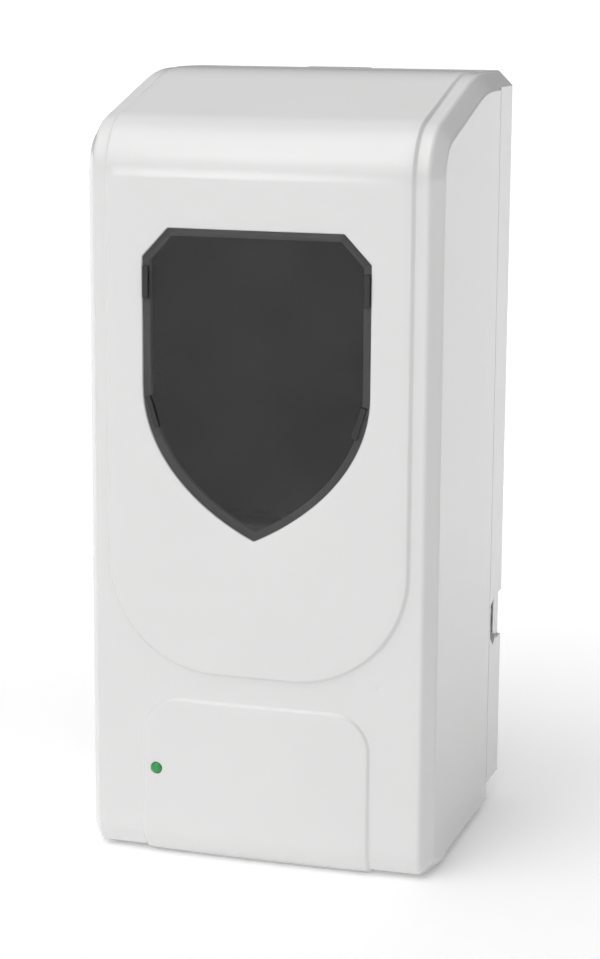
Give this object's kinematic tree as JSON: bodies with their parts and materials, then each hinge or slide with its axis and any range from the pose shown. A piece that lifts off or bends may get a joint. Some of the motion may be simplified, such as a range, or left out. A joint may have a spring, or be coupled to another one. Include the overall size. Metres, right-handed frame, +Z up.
{
  "type": "soap dispenser",
  "caption": "Touch-free wall-mounted soap dispenser: bowed cover on a bottom hinge, shield-shaped dark window, push latch, refillable tank, battery gear pump and nozzle.",
  "frame": {"origin": "middle of the flat back face that lies against the wall, 190 mm above the bottom lip of the cover", "axes": "+Y into the wall, +Z up, +X to the right for someone facing the dispenser"},
  "size_m": [0.124, 0.1045, 0.2705],
  "materials": {
    "shell_white": "high gloss white moulded ABS",
    "inside_white": "plain moulded white",
    "smoked_window": "polished smoked plastic",
    "light_guide_clear": "clear polished plastic",
    "status_green": "green light-emitting diode",
    "reservoir_translucent": "smoke-grey translucent polypropylene",
    "cap_grey": "fine textured grey",
    "black_plastic": "satin black",
    "acetal": "natural acetal",
    "silicone": "milky silicone",
    "black_rubber": "soft black rubber",
    "steel": "bright zinc-plated steel",
    "circuit_green": "green solder mask",
    "cell_jacket": "plain printed metal jacket, no markings",
    "wire_insulation": "red insulation"
  },
  "bodies": {
    "chassis": {"back_plate": "shell_white", "battery_box": "inside_white", "battery_cell_1": "cell_jacket", "battery_cell_2": "cell_jacket", "battery_cell_3": "cell_jacket", "battery_cell_4": "cell_jacket", "battery_door": "inside_white", "battery_lead": "wire_insulation", "battery_spring_1": "steel", "battery_spring_2": "steel", "battery_spring_3": "steel", "battery_spring_4": "steel", "circuit_board": "circuit_green", "dc_jack": "black_plastic", "drive_front_panel": "inside_white", "drive_housing": "inside_white", "gearbox_case": "acetal", "housing_screw_1": "steel", "housing_screw_2": "steel", "housing_screw_3": "steel", "housing_screw_4": "steel", "inlet_hose": "silicone", "ir_emitter": "light_guide_clear", "ir_receiver": "black_plastic", "jack_lead": "wire_insulation", "latch_spring": "steel", "motor_can": "steel", "motor_end_cap": "black_plastic", "motor_lead": "wire_insulation", "nozzle": "shell_white", "nozzle_valve": "silicone", "outlet_hose": "silicone", "outlet_seal": "black_rubber", "pump_body": "acetal", "pump_cover": "acetal", "reservoir": "reservoir_translucent", "sensor_board": "circuit_green", "sensor_window": "smoked_window", "status_led": "status_green", "switch_body": "black_plastic", "tank_outlet": "acetal", "tank_screw_left": "steel", "tank_screw_right": "steel"},
    "cover": {"front_cover": "shell_white", "window_lens": "smoked_window", "light_guide": "light_guide_clear", "hinge_pin_left": "steel", "hinge_pin_right": "steel"},
    "latch": {"latch_button": "shell_white"},
    "cap": {"filler_cap": "cap_grey", "filler_seal": "black_rubber"},
    "drive_gear": {"pump_drive_gear": "acetal"},
    "idler_gear": {"pump_idler_gear": "acetal"},
    "mode_switch": {"switch_slider": "black_plastic"}
  },
  "joints": [
    {"name": "cover_hinge", "type": "hinge", "parent": "chassis", "child": "cover", "pos_m": [0, -0.0198, -0.1848], "axis": [1, 0, 0], "range_deg": [0, 90]},
    {"name": "latch_press", "type": "slide", "parent": "chassis", "child": "latch", "axis": [0, 0, -1], "range_m": [0, 0.005], "stiffness_N_per_m": 400, "springref_m": -0.002, "deforming": ["latch_spring"]},
    {"name": "cap_turn", "type": "hinge", "parent": "chassis", "child": "cap", "pos_m": [0, -0.056, 0.0595], "axis": [0, 0, 1], "range_deg": [0, 90]},
    {"name": "drive_gear_spin", "type": "hinge", "parent": "chassis", "child": "drive_gear", "pos_m": [-0.033, -0.044, -0.151], "axis": [1, 0, 0], "continuous": true},
    {"name": "idler_gear_spin", "type": "hinge", "parent": "chassis", "child": "idler_gear", "pos_m": [-0.033, -0.044, -0.136], "axis": [1, 0, 0], "continuous": true},
    {"name": "switch_slide", "type": "slide", "parent": "chassis", "child": "mode_switch", "axis": [1, 0, 0], "range_m": [0, 0.0025]}
  ],
  "couplings": [
    {"joint": "idler_gear_spin", "follows": "drive_gear_spin", "ratio": -1}
  ]
}
